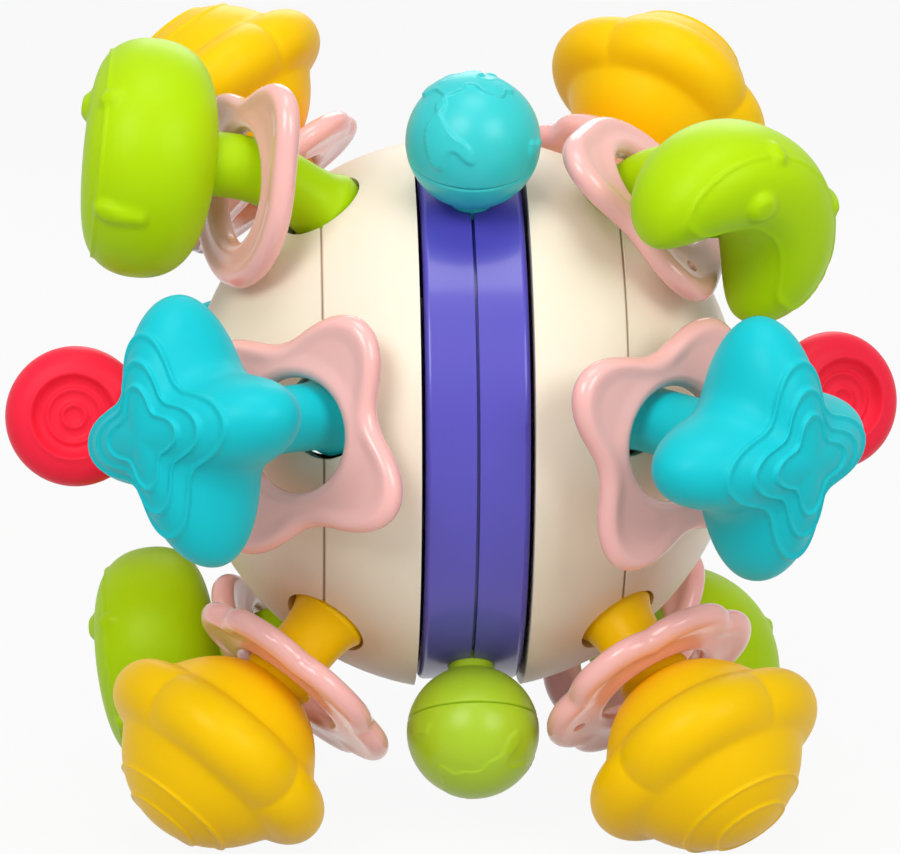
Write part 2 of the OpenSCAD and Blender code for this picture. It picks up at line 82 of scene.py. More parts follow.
# every loose ring: place along its stem, shift across it, tilt and spin
looseRings = {
    "left_front_star": dict(kind="lobe", along=0, drop=(1.03, 2.33), tilt=(0, -14), spin=37),
    "left_top_moon": dict(kind="horn", along=7.2, drop=(2.45, 1.2), tilt=(-17, 3), spin=-149),
    "left_top_planet": dict(kind="petal", along=4, drop=(-0.74, -2.7), tilt=(0, 0), spin=0),
    "left_back_star": dict(kind="lobe", along=0.5, drop=(-0.29, -2.78), tilt=(0, -8), spin=45),
    "left_low_moon": dict(kind="horn", along=6, drop=(-2.43, -1.35), tilt=(-7, -3), spin=35),
    "left_front_planet": dict(kind="petal", along=4.3, drop=(0.06, 2.35), tilt=(0, 0), spin=0),
    "right_front_star": dict(kind="lobe", along=3.5, drop=(2.12, -1.72), tilt=(0, -10), spin=23),
    "right_top_moon": dict(kind="horn", along=1.4, drop=(2.51, 0.45), tilt=(-6, -16), spin=-48),
    "right_top_planet": dict(kind="petal", along=2, drop=(-1.6, -2.3), tilt=(0, -4), spin=0),
    "right_back_star": dict(kind="lobe", along=0.5, drop=(-0.29, 2.78), tilt=(0, -8), spin=45),
    "right_low_moon": dict(kind="horn", along=3, drop=(-2.54, -0.91), tilt=(0, -8), spin=90),
    "right_front_planet": dict(kind="petal", along=4.6, drop=(0.3, 2.2), tilt=(0, 0), spin=0),
}
stem = dict(radius=4.85, rootRadius=6.1, flare=1.2, flareRun=1.7, rootRun=6.0, bendRun=11.0, flangeRadius=7.4)


# hole frame: a hole lies on the seam at an angle around the ball, a disc stands on the pole
def holeTurn(t):
    if t["around"] is None:
        return turnY(t["side"] * 90)
    return turnX(90 - t["around"]) @ turnY(t["side"] * holeTilt)


# leaning frame of a teether to the standing ball
def placeLeaning(t, points):
    lean = holeTurn(t) @ turnZ(t["toward"])
    shape = points.shape
    flat = points.reshape(-1, 3) @ turnY(t["lean"]).T
    flat = flat @ lean.T + holeTurn(t) @ np.array([0, 0, pivotOut])
    return ballToFloor(flat).reshape(shape)


# middle line of a stem at lengths s from the pivot: straight, then an arc of the bend, then straight again
def stemLine(t, s):
    run = stem["bendRun"] if t["around"] is not None else 0.0
    s = np.asarray(s, float)
    inArc = np.clip(s - stem["rootRun"], 0, run)
    after = np.clip(s - stem["rootRun"] - run, 0, None)
    before = np.minimum(s, stem["rootRun"])
    if t["bend"] and run:
        bow = run / np.radians(t["bend"])
        a = inArc / bow
        x = bow * (1 - np.cos(a)) + after * np.sin(a)
        z = before + bow * np.sin(a) + after * np.cos(a)
    else:
        a = np.zeros_like(s)
        x = np.zeros_like(s)
        z = before + inArc + after
    zero = np.zeros_like(s)
    centre = np.stack([x, zero, z], -1)
    across = np.stack([np.cos(a), zero, -np.sin(a)], -1)
    side = np.stack([zero, zero + 1, zero], -1)
    along = np.stack([np.sin(a), zero, np.cos(a)], -1)
    return centre, across, side, along


# head frame (end of the stem, spun) to the leaning frame
def headToLeaning(t, points, at=None, spin=None):
    run = stem["bendRun"] if t["around"] is not None else 0.0
    c, ax, sd, al = stemLine(t, np.array([stem["rootRun"] + (run if at is None else at)]))
    basis = np.stack([ax[0], sd[0], al[0]], 1) @ turnZ(t["spin"] if spin is None else spin)
    return points @ basis.T + c[0]


def smooth(a, b, x):
    u = np.clip((x - a) / (b - a), 0, 1)
    return u * u * (3 - 2 * u)


def softMax(a, b, k):
    return (a + b + np.sqrt((a - b) ** 2 + k * k)) / 2


# outward normals of a grid that closes around its second direction
def gridNormals(grid):
    du = np.gradient(grid, axis=0)
    dv = (np.roll(grid, -1, 1) - np.roll(grid, 1, 1)) / 2
    n = np.cross(dv, du)
    return n / np.maximum(np.linalg.norm(n, axis=-1, keepdims=True), 1e-9)


# closed skin over rows of points: quads between rows, and a fan to the middle of the first and the last row
def skin(grid, closedRows=False):
    rows, cols = grid.shape[:2]
    idx = np.arange(rows * cols).reshape(rows, cols)
    a = idx if closedRows else idx[:-1]
    b = np.roll(idx, -1, 0) if closedRows else idx[1:]
    quads = np.stack([a, np.roll(a, -1, 1), np.roll(b, -1, 1), b], -1).reshape(-1, 4)
    verts = grid.reshape(-1, 3)
    if closedRows:
        return verts, [quads]
    first, last = rows * cols, rows * cols + 1
    verts = np.vstack([verts, grid[0].mean(0), grid[-1].mean(0)])
    lowFan = np.stack([np.full(cols, first), np.roll(idx[0], -1), idx[0]], -1)
    highFan = np.stack([np.full(cols, last), idx[-1], np.roll(idx[-1], -1)], -1)
    return verts, [quads, lowFan, highFan]


def makePiece(name, shells, material, body, replaced):
    starts = np.cumsum([0] + [len(v) for v, f in shells])
    verts = np.vstack([v for v, f in shells]) * 0.001
    faces = []
    for start, (v, groups) in zip(starts, shells):
        for group in groups:
            faces += (group + start).tolist()
    mesh = bpy.data.meshes.new(name)
    mesh.from_pydata(verts.tolist(), [], faces)
    mesh.polygons.foreach_set("use_smooth", np.ones(len(mesh.polygons), bool))
    mesh.materials.append(material)
    mesh.validate()
    piece = bpy.data.objects.new(name, mesh)
    bpy.context.scene.collection.objects.link(piece)
    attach(piece, body)
    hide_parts(*replaced)
    return piece


# finishes
def newGroup(name, inputs, outputs):
    group = bpy.data.node_groups.new(name, "ShaderNodeTree")
    for label, kind, value in inputs:
        socket = group.interface.new_socket(label, in_out="INPUT", socket_type=kind)
        if value is not None:
            socket.default_value = value
    for label, kind in outputs:
        group.interface.new_socket(label, in_out="OUTPUT", socket_type=kind)
    return group, group.nodes.new("NodeGroupInput"), group.nodes.new("NodeGroupOutput")


# moulded surface: a faint cloudiness of the colour, an uneven gloss and a fine grain for the bump
def mouldedSurface():
    group, gin, gout = newGroup(
        "mouldedSurface",
        [("Colour", "NodeSocketColor", (1, 1, 1, 1)), ("Deep", "NodeSocketColor", (0.5, 0.5, 0.5, 1)),
         ("Cloud", "NodeSocketFloat", 0.2), ("Gloss", "NodeSocketFloat", 0.4),
         ("Grain Size", "NodeSocketFloat", 2500.0)],
        [("Colour", "NodeSocketColor"), ("Roughness", "NodeSocketFloat"), ("Grain", "NodeSocketFloat")])
    add = group.nodes.new
    link = group.links.new
    coords = add("ShaderNodeTexCoord")
    cloud = add("ShaderNodeTexNoise")
    cloud.inputs["Scale"].default_value = 55.0
    cloud.inputs["Detail"].default_value = 3.0
    link(coords.outputs["Object"], cloud.inputs["Vector"])
    grain = add("ShaderNodeTexNoise")
    grain.inputs["Detail"].default_value = 2.0
    link(coords.outputs["Object"], grain.inputs["Vector"])
    link(gin.outputs["Grain Size"], grain.inputs["Scale"])
    amount = add("ShaderNodeMath")
    amount.operation = "MULTIPLY"
    link(cloud.outputs["Fac"], amount.inputs[0])
    link(gin.outputs["Cloud"], amount.inputs[1])
    mix = add("ShaderNodeMix")
    mix.data_type = "RGBA"
    link(amount.outputs[0], mix.inputs["Factor"])
    link(gin.outputs["Colour"], mix.inputs["A"])
    link(gin.outputs["Deep"], mix.inputs["B"])
    rough = add("ShaderNodeMath")
    rough.operation = "MULTIPLY_ADD"
    rough.inputs[1].default_value = 0.12
    link(cloud.outputs["Fac"], rough.inputs[0])
    link(gin.outputs["Gloss"], rough.inputs[2])
    link(mix.outputs["Result"], gout.inputs["Colour"])
    link(rough.outputs[0], gout.inputs["Roughness"])
    link(grain.outputs["Fac"], gout.inputs["Grain"])
    return group


# painted shade along the seam groove: a mask that is 1 in two planes at equal distances from the middle of
# the ball and falls to 0 beside them
def seamShadeLine():
    group, gin, gout = newGroup(
        "seamShadeLine",
        [("Place", "NodeSocketFloat", 0.02), ("Half Width", "NodeSocketFloat", 0.0003)],
        [("Mask", "NodeSocketFloat")])
    coords = group.nodes.new("ShaderNodeTexCoord")
    parts = group.nodes.new("ShaderNodeSeparateXYZ")
    group.links.new(coords.outputs["Object"], parts.inputs[0])
    across = group.nodes.new("ShaderNodeMath")
    across.operation = "ABSOLUTE"
    group.links.new(parts.outputs["X"], across.inputs[0])
    off = group.nodes.new("ShaderNodeMath")
    off.operation = "SUBTRACT"
    group.links.new(across.outputs[0], off.inputs[0])
    group.links.new(gin.outputs["Place"], off.inputs[1])
    apart = group.nodes.new("ShaderNodeMath")
    apart.operation = "ABSOLUTE"
    group.links.new(off.outputs[0], apart.inputs[0])
    fall = group.nodes.new("ShaderNodeMapRange")
    fall.interpolation_type = "SMOOTHSTEP"
    fall.inputs["To Min"].default_value = 1.0
    fall.inputs["To Max"].default_value = 0.0
    group.links.new(apart.outputs[0], fall.inputs["Value"])
    group.links.new(gin.outputs["Half Width"], fall.inputs["From Max"])
    group.links.new(fall.outputs[0], gout.inputs["Mask"])
    return group


moulded = mouldedSurface()
seamShadeMask = seamShadeLine()


def srgb(r, g, b):
    c = np.array([r, g, b], float) / 255
    lin = np.where(c <= 0.04045, c / 12.92, ((c + 0.055) / 1.055) ** 2.4)
    return (float(lin[0]), float(lin[1]), float(lin[2]), 1.0)


# soft pieces scatter light below the skin and tint part of what they mirror with their own colour
def finish(name, colour, deep, cloud=0.2, gloss=0.36, grain=2500.0, bump=0.05, soft=0.0, softScale=0.003,
           softRadius=(1.0, 0.7, 0.5), tinted=0.0, coat=0.0, shine=0.5):
    mat = bpy.data.materials.new(name)
    mat.use_nodes = True
    tree = mat.node_tree
    bsdf = tree.nodes["Principled BSDF"]
    surface = tree.nodes.new("ShaderNodeGroup")
    surface.node_tree = moulded
    surface.inputs["Colour"].default_value = srgb(*colour)
    surface.inputs["Deep"].default_value = srgb(*deep)
    surface.inputs["Cloud"].default_value = cloud
    surface.inputs["Gloss"].default_value = gloss
    surface.inputs["Grain Size"].default_value = grain
    tree.links.new(surface.outputs["Colour"], bsdf.inputs["Base Color"])
    tree.links.new(surface.outputs["Roughness"], bsdf.inputs["Roughness"])
    bumpNode = tree.nodes.new("ShaderNodeBump")
    bumpNode.inputs["Strength"].default_value = bump
    bumpNode.inputs["Distance"].default_value = 0.0002
    tree.links.new(surface.outputs["Grain"], bumpNode.inputs["Height"])
    tree.links.new(bumpNode.outputs["Normal"], bsdf.inputs["Normal"])
    bsdf.inputs["Specular IOR Level"].default_value = shine
    if soft:
        bsdf.inputs["Subsurface Weight"].default_value = soft
        bsdf.inputs["Subsurface Radius"].default_value = softRadius
        bsdf.inputs["Subsurface Scale"].default_value = softScale
    bsdf.inputs["Specular Tint"].default_value = tuple(1 - tinted * (1 - c) for c in srgb(*colour))
    if coat:
        bsdf.inputs["Coat Weight"].default_value = coat
        bsdf.inputs["Coat Roughness"].default_value = 0.12
    return mat


finishes = {
    "shell": finish("creamShell", (244, 233, 214), (243, 222, 190), cloud=0.25, gloss=0.34, bump=0.04,
                    soft=0.1, shine=0.3),
    "track": finish("violetTrack", (82, 72, 186), (62, 52, 160), gloss=0.27, bump=0.02, coat=0.3),
    "turquoiseBead": finish("turquoiseBead", (56, 206, 208), (30, 184, 190), cloud=0.25, gloss=0.28,
                            shine=0.35),
    "limeBead": finish("limeBead", (174, 208, 40), (150, 188, 16), cloud=0.25, gloss=0.28, shine=0.35),
    "yellowBead": finish("yellowBead", (255, 204, 24), (244, 178, 6), cloud=0.25, gloss=0.28, shine=0.35),
    "star": finish("tealStar", (22, 198, 208), (2, 172, 186), soft=0.1, tinted=0.55, shine=0.26),
    "moon": finish("limeMoon", (180, 220, 0), (152, 198, 0), soft=0.1, tinted=0.55, shine=0.26),
    "planet": finish("yellowPlanet", (255, 205, 0), (255, 181, 0), soft=0.22, softScale=0.004,
                     softRadius=(1.0, 0.45, 0.1), tinted=0.55, shine=0.26),
    "disc": finish("redDisc", (255, 42, 70), (250, 18, 50), soft=0.1, tinted=0.55, shine=0.26),
    "ring": finish("pinkRing", (251, 188, 182), (244, 166, 162), gloss=0.17, soft=0.08, coat=0.35, shine=0.4),
    "screw": finish("hubScrew", (180, 180, 186), (150, 150, 156), cloud=0.3, gloss=0.3),
}


# painted shade in the seam groove of the shells: the cream runs into a dull brown along it, where the
# groove's shade falls
def addSeamShade(mat, place, halfWidth, colour):
    tree = mat.node_tree
    base = tree.nodes["Principled BSDF"].inputs["Base Color"]
    plain = base.links[0].from_socket
    line = tree.nodes.new("ShaderNodeGroup")
    line.node_tree = seamShadeMask
    line.inputs["Place"].default_value = place
    line.inputs["Half Width"].default_value = halfWidth
    mix = tree.nodes.new("ShaderNodeMix")
    mix.data_type = "RGBA"
    tree.links.new(line.outputs["Mask"], mix.inputs["Factor"])
    tree.links.new(plain, mix.inputs["A"])
    mix.inputs["B"].default_value = srgb(*colour)
    tree.links.new(mix.outputs["Result"], base)


# the seam of the shells is painted dull brown as shade in its groove
addSeamShade(finishes["shell"], ball["seam"] * 0.001, 0.00027, (146, 116, 88))
print("finishes made:", len(finishes))


# stems
# radius of a stem at a length from its pivot: flange inside the ball, ball-shaped root, trumpet flare, then
# the plain stem
def stemRadius(s):
    plain = np.full_like(s, stem["radius"])
    root = np.sqrt(np.clip(stem["rootRadius"] ** 2 - s ** 2, 0.01, None))
    flare = stem["radius"] + stem["flare"] * np.exp(-np.clip(s, 0, None) / stem["flareRun"])
    r = np.where(s < 0, np.maximum(plain, root), np.maximum(flare, plain))
    onFlange = smooth(-8.9, -8.2, s) * (1 - smooth(-7.3, -6.9, s))
    return np.maximum(r, stem["radius"] + (stem["flangeRadius"] - stem["radius"]) * onFlange)


def stemLengths(end, count=60):
    inner = np.array([-8.8, -8.6, -8.3, -7.9, -7.4, -7.1, -6.9, -6.4, -5.6, -4.6, -3.8, -3.0, -2.0, -1.0])
    return np.concatenate([inner, np.linspace(-0.4, end, count)])


# tube: the stem's radius carried along its middle line, widened where it runs into the head
def stemTube(t, end, widen=0.0, widenRun=4.0, around=72):
    s = stemLengths(end)
    r = stemRadius(s) + widen * smooth(end - widenRun - 1.5, end - 1.5, s) ** 2
    c, ax, sd, al = stemLine(t, s)
    phi = np.linspace(0, 2 * np.pi, around, endpoint=False)
    ring = ax[:, None] * np.cos(phi)[None, :, None] + sd[:, None] * np.sin(phi)[None, :, None]
    return c[:, None] + r[:, None, None] * ring


# star
star = dict(tip=19.5, waist=11.6, face=11.0, back=9.0, rise=9.0, ridges=(0.37, 0.545, 0.73), ridgeHeight=0.46,
            ridgeWidth=0.024, fillet=3.2)


def starReach(turn):
    return star["waist"] + (star["tip"] - star["waist"]) * ((1 + np.cos(4 * turn)) / 2) ** 1.25


# star: rows of a round stem widen softly into the star's back, then the domed face closes over them with its
# raised outlines
def starGrid(t):
    turn = np.linspace(0, 2 * np.pi, 192, endpoint=False)
    reach = starReach(turn)[None, :]
    base = stem["rootRun"] + stem["bendRun"] + star["rise"]
    stemS = stemLengths(base - star["back"] - 0.6, 46)
    stemRows = np.repeat(stemRadius(stemS)[:, None], len(turn), 1)
    stemZ = np.repeat(stemS[:, None], len(turn), 1)
    level = np.radians(np.linspace(-88, 0, 40))[:, None]
    backR = softMax(reach * np.cos(level), stem["radius"], star["fillet"] * smooth(0, 1, -np.sin(level)))
    backZ = base + star["back"] * np.sin(level) + 0 * reach
    shoulder = np.radians(np.linspace(1.2, 36.0, 30))
    front = np.concatenate([shoulder, np.arccos(np.linspace(0.80, 0.006, 130))])[:, None]
    frontR = reach * np.cos(front)
    frontZ = base + star["face"] * np.sin(front) + 0 * reach
    r = np.vstack([stemRows, backR, frontR])
    z = np.vstack([stemZ, backZ, frontZ])
    spin = np.radians(t["spin"])
    grid = np.stack([r * np.cos(turn + spin), r * np.sin(turn + spin), z], -1)
    share = np.cos(front)
    ridges = sum(np.exp(-((share - at) / star["ridgeWidth"]) ** 2) for at in star["ridges"])
    lift = star["ridgeHeight"] * ridges
    count = len(front)
    grid[-count:] += gridNormals(grid)[-count:] * (lift + 0 * reach)[..., None]
    return grid


# planet
planet = dict(radius=14.2, rise=9.0, orbit=14.0, waist=11.9, tube=4.7, groove=1.5, easing=5.0,
              poleRings=(24.0, 42.0), poleLift=0.3, poleWidth=1.3, lowest=-69.0, fillet=0.9,
              filletAt=(19.0, 13.6))


# planet: distance from its middle is the greater of the globe and a fat ring in four soft lobes, run softly
# together; along a ray at height h the ring lies at middle * cos(h) + sqrt(tube^2 - (middle * sin(h))^2), and
# the root is eased at zero
def planetGrid(t):
    turn = np.linspace(0, 2 * np.pi, 200, endpoint=False)[None, :]
    base = stem["rootRun"] + stem["bendRun"] + planet["rise"]
    height = np.concatenate([np.linspace(planet["lowest"], 44, 130), np.linspace(44.6, 89.4, 90)])[:, None]
    h = np.radians(height)
    middle = planet["waist"] + (planet["orbit"] - planet["waist"]) * np.abs(np.cos(2 * turn)) ** 0.8
    under = planet["tube"] ** 2 - (middle * np.sin(h)) ** 2
    ring = middle * np.cos(h) + np.sqrt(softMax(under, 0.0, planet["easing"]))
    dist = softMax(planet["radius"] + 0 * turn, ring, planet["groove"])
    pole = 90 - height
    arcs = sum(np.exp(-((pole - at) / planet["poleWidth"]) ** 2) for at in planet["poleRings"])
    dist = dist + planet["poleLift"] * arcs
    r = dist * np.cos(h)
    z = base + dist * np.sin(h)
    stemS = stemLengths(base + planet["radius"] * np.sin(h[0, 0]) - 1.2, 44)
    fillet = planet["fillet"] * smooth(base - planet["filletAt"][0], base - planet["filletAt"][1], stemS) ** 2
    stemRows = np.repeat((stemRadius(stemS) + fillet)[:, None], turn.size, 1)
    r = np.vstack([stemRows, r])
    z = np.vstack([np.repeat(stemS[:, None], turn.size, 1), z])
    spin = np.radians(t["spin"])
    return np.stack([r * np.cos(turn + spin), r * np.sin(turn + spin), z], -1)


# moon
moon = dict(bow=12.2, half=8.2, thick=9.9, span=112.0, shift=8.5, rise=11.5, thinning=0.4, ridge=0.3,
            ridgeWidth=0.034, outline=(0.66, 0.8),
            craters=((0.33, -0.2, 2.9, 1.1), (0.22, 0.7, 1.6, 0.7), (-0.26, 0.82, 2.0, 0.9)))


# crescent: rounded oval sections along a bow, fullest in the middle, with a raised outline and raised craters
# on the outer face; a crater is its place along and across the crescent, its radius and its rise
def moonGrid(t):
    k = np.linspace(-89.2, 89.2, 170)
    share = np.sin(np.radians(k))[:, None]
    turn = np.linspace(0, 2 * np.pi, 150, endpoint=False)[None, :]
    full = (1 - moon["thinning"] * share ** 2) * np.sqrt(1 - np.abs(share) ** 6)
    cx = np.sign(np.cos(turn)) * np.abs(np.cos(turn)) ** 0.9
    sz = np.sign(np.sin(turn)) * np.abs(np.sin(turn)) ** 0.9
    reach = moon["bow"] + moon["half"] * full * cx
    at = np.radians(moon["span"] * share)
    grid = np.stack([reach * np.cos(at) - moon["shift"], reach * np.sin(at), moon["thick"] * full * sz], -1)
    normal = -gridNormals(grid)
    face = smooth(0.15, 0.4, np.sin(turn))
    across, along = moon["outline"]
    loop = (np.abs(np.cos(turn) / across) ** 4 + np.abs(share / along) ** 4) ** 0.25
    lift = moon["ridge"] * np.exp(-((loop - 1) / moon["ridgeWidth"]) ** 2) * face
    for cs, cu, size, rise in moon["craters"]:
        ca = np.radians(moon["span"] * cs)
        cr = moon["bow"] + moon["half"] * cu
        dx = grid[..., 0] - (cr * np.cos(ca) - moon["shift"])
        dy = grid[..., 1] - cr * np.sin(ca)
        dome = rise * smooth(size, size * 0.4, np.sqrt(dx * dx + dy * dy))
        lift = np.maximum(lift, dome * (np.sin(turn) > 0))
    grid = grid + normal * lift[..., None]
    grid = grid[:, ::-1]
    grid[..., 2] += moon["rise"]
    return headToLeaning(t, grid)


# disc
disc = dict(radius=10.9, thick=8.0, rise=1.5, dish=1.5, ripples=(0.16, 0.38, 0.6), ripple=0.5,
            rippleWidth=0.046875)


# disc: a profile turned about the disc's own axis, dished with raised ripples inside a full round rim
def discGrid(t):
    half = disc["thick"] / 2
    rimStart = 1 - half / disc["radius"] * 0.92
    share = np.linspace(0.004, rimStart, 70)
    dishDepth = disc["dish"] * (1 - smooth(rimStart - 0.26, rimStart + 0.02, share))
    lift = disc["ripple"] * sum(np.exp(-((share - at) / disc["rippleWidth"]) ** 2) for at in disc["ripples"])
    faceR = share * disc["radius"]
    faceZ = half * 0.99 - dishDepth + lift
    rim = np.radians(np.linspace(84, -84, 34))
    rimR = disc["radius"] - half + half * np.cos(rim)
    rimZ = half * np.sin(rim)
    r = np.concatenate([faceR, rimR, faceR[::-1]])
    z = np.concatenate([faceZ, rimZ, -faceZ[::-1]])
    turn = np.linspace(0, 2 * np.pi, 128, endpoint=False)
    local = np.stack([r[:, None] * np.cos(turn), np.repeat(-z[:, None], len(turn), 1),
                      r[:, None] * np.sin(turn) + disc["radius"] + disc["rise"]], -1)
    return headToLeaning(t, local)


def buildTeether(name, t):
    kind = t["kind"]
    if kind == "star":
        shells = [skin(placeLeaning(t, starGrid(t)))]
    elif kind == "planet":
        shells = [skin(placeLeaning(t, planetGrid(t)))]
    elif kind == "moon":
        tube = stemTube(t, stem["rootRun"] + stem["bendRun"] + 7.0, widen=1.6, widenRun=5.0)
        shells = [skin(placeLeaning(t, tube)), skin(placeLeaning(t, moonGrid(t)))]
    else:
        tube = stemTube(t, stem["rootRun"] + 5.0, widen=1.0, widenRun=3.0)
        shells = [skin(placeLeaning(t, tube)), skin(placeLeaning(t, discGrid(t)))]
    return makePiece(name + "_soft", shells, finishes[kind], name, [name])


for name, t in teethers.items():
    buildTeether(name, t)
print("soft teethers made:", len(teethers))

# loose rings
loose = dict(hole=8.4, thick=3.9, dish=0.4, dishEase=2.2, innerRound=1.8, outerRound=2.3, lobeTip=20.0,
             lobeWaist=13.6, petalTip=17.6, petalDip=1.9, hornTip=19.0, hornWaist=15.2, hornAt=48.0,
             hornDip=1.9, ventRadius=1.0, ventReach=1.4)
# vent of each kind of ring: distance from the middle, and angle
ventAt = dict(lobe=(15.0, 0.0), petal=(13.1, 0.0), horn=(14.0, loose["hornAt"]))


def lobeReach(a):
    return loose["lobeWaist"] + (loose["lobeTip"] - loose["lobeWaist"]) * ((1 + np.cos(4 * a)) / 2) ** 1.1


def petalReach(a):
    between = np.clip(1 - np.sqrt(np.cos(3 * a) ** 2 + 0.012), 0, None) ** 1.6
    return loose["petalTip"] - loose["petalDip"] * between


def hornReach(a):
    d = np.degrees((a + np.pi) % (2 * np.pi) - np.pi)
    horns = np.exp(-((d - loose["hornAt"]) / 24) ** 2) + np.exp(-((d + loose["hornAt"]) / 24) ** 2)
    dip = loose["hornDip"] * np.exp(-(d / 22) ** 2)
    return loose["hornWaist"] + (loose["hornTip"] - loose["hornWaist"]) * horns - dip


reachOf = dict(lobe=lobeReach, petal=petalReach, horn=hornReach)


# even steps with extra ones close together around a place
def closeSteps(start, stop, count, at, reach, extra):
    even = np.linspace(start, stop, count, endpoint=False)
    even = even[np.abs(even - at) > reach * 1.1]
    return np.sort(np.concatenate([even, np.linspace(at - reach, at + reach, extra)]))


# loose ring, upper face: half height over the distance from the hole, round at both edges and dished between
# them; the lower face mirrors it, and steps lie close together around the vent
def ringFaces(kind):
    ventOut, ventAngle = ventAt[kind]
    middle = np.radians(ventAngle)
    inner, outer, half = loose["innerRound"], loose["outerRound"], loose["thick"] / 2
    turn = closeSteps(-np.pi, np.pi, 176, middle, loose["ventReach"] / ventOut, 19)[:, None]
    wide = reachOf[kind](turn) - loose["hole"]
    ventSpan = reachOf[kind](middle) - loose["hole"] - inner - outer
    ventShare = (ventOut - loose["hole"] - inner) / ventSpan
    share = closeSteps(0, 1, 11, ventShare, loose["ventReach"] / ventSpan, 19)[None, :]
    edge = np.radians(np.linspace(0, 84, 9))[None, :]
    each = np.ones_like(turn)
    web = inner + (wide - inner - outer) * share
    x = np.hstack([each * inner * (1 - np.cos(edge)), web, wide - outer * (1 - np.cos(edge[:, ::-1]))])
    z = half * np.hstack([each * np.sin(edge), np.ones_like(web), each * np.sin(edge[:, ::-1])])
    ease = loose["dishEase"]
    fromHole = smooth(inner * 0.4, inner + ease, x)
    z = z - loose["dish"] * fromHole * (1 - smooth(wide - outer - ease, wide - outer * 0.4, x))
    r = loose["hole"] + x
    top = np.stack([r * np.cos(turn), r * np.sin(turn), z], -1)
    vent = ventOut * np.array([np.cos(middle), np.sin(middle)])
    return top, top[..., :2] - vent


# quads of a face of a ring, whose rows go around it
def ringQuads(index, wrap):
    return np.stack([index[:, :-1], index[:, 1:], index[wrap][:, 1:], index[wrap][:, :-1]], -1)


# loose ring: both faces meet at the first and the last column, and the cells inside the vent give way to its
# wall, whose rim is drawn out to a true circle
def ringShell(kind, t, ring):
    top, fromVent = ringFaces(kind)
    away = np.linalg.norm(fromVent, axis=-1)
    rows, cols = away.shape
    idx = np.arange(rows * cols).reshape(rows, cols)
    lowIdx = idx + rows * cols
    lowIdx[:, 0], lowIdx[:, -1] = idx[:, 0], idx[:, -1]
    wrap = np.roll(np.arange(rows), -1)
    inside = away < loose["ventRadius"]
    cut = inside[:, :-1] & inside[:, 1:] & inside[wrap][:, :-1] & inside[wrap][:, 1:]
    kept = np.zeros_like(inside)
    for back in (0, 1):
        kept[:, :-1] |= np.roll(~cut, back, 0)
        kept[:, 1:] |= np.roll(~cut, back, 0)
    rim = inside & kept
    top[rim, :2] += fromVent[rim] * (loose["ventRadius"] / away[rim] - 1)[:, None]
    low = top * np.array([1, 1, -1])
    upper = ringQuads(idx, wrap)[~cut][:, ::-1]
    lower = ringQuads(lowIdx, wrap)[~cut]
    walls = []
    # each side of a cut cell: its two corners, and the neighbour that it faces
    sides = (((0, 0), (0, 1), -1, 0), ((1, 1), (1, 0), 1, 0), ((1, 0), (0, 0), -1, 1), ((0, 1), (1, 1), 1, 1))
    for edgeA, edgeB, step, axis in sides:
        bare = cut & ~np.roll(cut, -step, axis)
        i, j = np.nonzero(bare)
        a = (i + edgeA[0]) % rows, j + edgeA[1]
        b = (i + edgeB[0]) % rows, j + edgeB[1]
        walls.append(np.stack([idx[a], idx[b], lowIdx[b], lowIdx[a]], -1)[:, ::-1])
    verts = placeRing(t, ring, np.concatenate([top.reshape(-1, 3), low.reshape(-1, 3)]))
    return verts, [upper, lower, np.concatenate(walls)]


def placeRing(t, ring, points):
    tilt = turnY(ring["tilt"][1]) @ turnX(ring["tilt"][0])
    local = points @ (tilt @ turnZ(ring["spin"])).T + np.array([ring["drop"][0], ring["drop"][1], 0])
    return placeLeaning(t, headToLeaning(t, local, at=ring["along"], spin=0))


for name, ring in looseRings.items():
    shell = ringShell(ring["kind"], teethers[name], ring)
    makePiece(name + "_loose_ring", [shell], finishes["ring"], name + "_ring", [name + "_ring"])
print("loose rings made:", len(looseRings))

# beads
bead = dict(radius=10.0, seam=1.8, orbit=51.5, firstAngle=51.0, neck=3.5, neckTop=9.5, neckRun=13.2,
            flange=5.5, flangeThick=1.3, bevel=0.3, lip=0.28, relief=0.34)
beads = {"top_bead": dict(turn=0, slot="turquoise_bead", finish="turquoiseBead", relief=1.0),
         "bottom_bead": dict(turn=120, slot="lime_bead", finish="limeBead", relief=0.45),
         "back_bead": dict(turn=240, slot="yellow_bead", finish="yellowBead", relief=1.0)}


def placeBead(spot, points):
    shape = points.shape
    flat = points.reshape(-1, 3) + np.array([0, 0, bead["orbit"]])
    return ballToFloor(flat @ turnX(90 - bead["firstAngle"] + spot["turn"]).T).reshape(shape)


# low relief: a sum of a few waves over the ball's direction, cut off softly into raised patches with a thin
# higher edge
def landRelief(d, shift):
    x, y, z = d[..., 0], d[..., 1], d[..., 2]
    f = (np.sin(2.3 * x + 0.9 + shift) * np.cos(2.9 * y - 0.7) + 0.6 * np.sin(3.7 * z + 2.1 * x + 0.4 * shift)
         + 0.42 * np.cos(5.3 * y + 2.6 * x - shift) + 0.22 * np.sin(9 * x - 7 * y + 5 * z)
         + 0.12 * np.sin(17 * y + 13 * x))
    return smooth(0.28, 0.42, f) + 0.3 * np.exp(-((f - 0.4) / 0.07) ** 2)


# dome: the upper cap of the ball down to its seam with a small rounded lip, closed flat inside
def beadDome(spot):
    turn = np.linspace(0, 2 * np.pi, 144, endpoint=False)[None, :]
    down = np.linspace(0.6, np.degrees(np.arccos(-bead["seam"] / bead["radius"])) - 0.15, 110)[:, None]
    a = np.radians(down)
    d = np.stack([np.sin(a) * np.cos(turn), np.sin(a) * np.sin(turn), np.cos(a) + 0 * turn], -1)
    lip = bead["lip"] * smooth(98.4, 100.3, down) ** 2
    lift = bead["relief"] * spot["relief"] * landRelief(d, spot["turn"]) * (1 - smooth(80, 92, down))
    grid = d * (bead["radius"] - lip + lift)[..., None]
    return placeBead(spot, grid[::-1])


